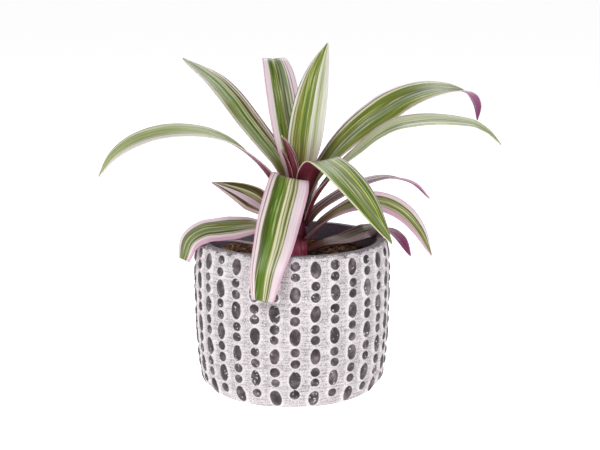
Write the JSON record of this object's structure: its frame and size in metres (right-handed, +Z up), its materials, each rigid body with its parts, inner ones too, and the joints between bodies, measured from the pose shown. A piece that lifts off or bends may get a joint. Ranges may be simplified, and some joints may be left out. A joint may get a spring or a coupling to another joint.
{
  "type": "potted boat lily plant",
  "caption": "Young striped boat lily with arching strap leaves, standing in a round cement cover pot with raised beads.",
  "frame": {"origin": "centre of the pot's flat foot, on the surface it stands on", "axes": "+Z up, along the pot's axis; -Y is the plant's front, where one leaf folds down over the rim; +X is to the right as seen from the front"},
  "size_m": [0.2614, 0.1627, 0.2263],
  "materials": {
    "lime_washed_cement": "matte",
    "bark_compost": "matte",
    "magenta_stem": "satin",
    "striped_leaf": "satin",
    "young_purple_leaf": "satin"
  },
  "bodies": {
    "root": {"cement_pot": "lime_washed_cement", "potting_compost": "bark_compost", "plant_stem": "magenta_stem", "leaf_lower_right": "striped_leaf", "leaf_inner_left": "striped_leaf", "leaf_back_low": "striped_leaf", "leaf_lower_left": "striped_leaf", "leaf_right_mid": "striped_leaf", "leaf_back_left": "striped_leaf", "leaf_right_thin": "striped_leaf", "leaf_left_short": "striped_leaf", "leaf_back_right": "striped_leaf", "leaf_right_second": "striped_leaf", "leaf_left_arch": "striped_leaf", "leaf_front_fold": "striped_leaf", "leaf_right_upper": "striped_leaf", "leaf_front_right": "striped_leaf", "leaf_upper_left": "striped_leaf", "leaf_back_middle": "striped_leaf", "leaf_centre_upright": "striped_leaf", "spear_short": "young_purple_leaf", "spear_tall": "young_purple_leaf"}
  },
  "joints": []
}
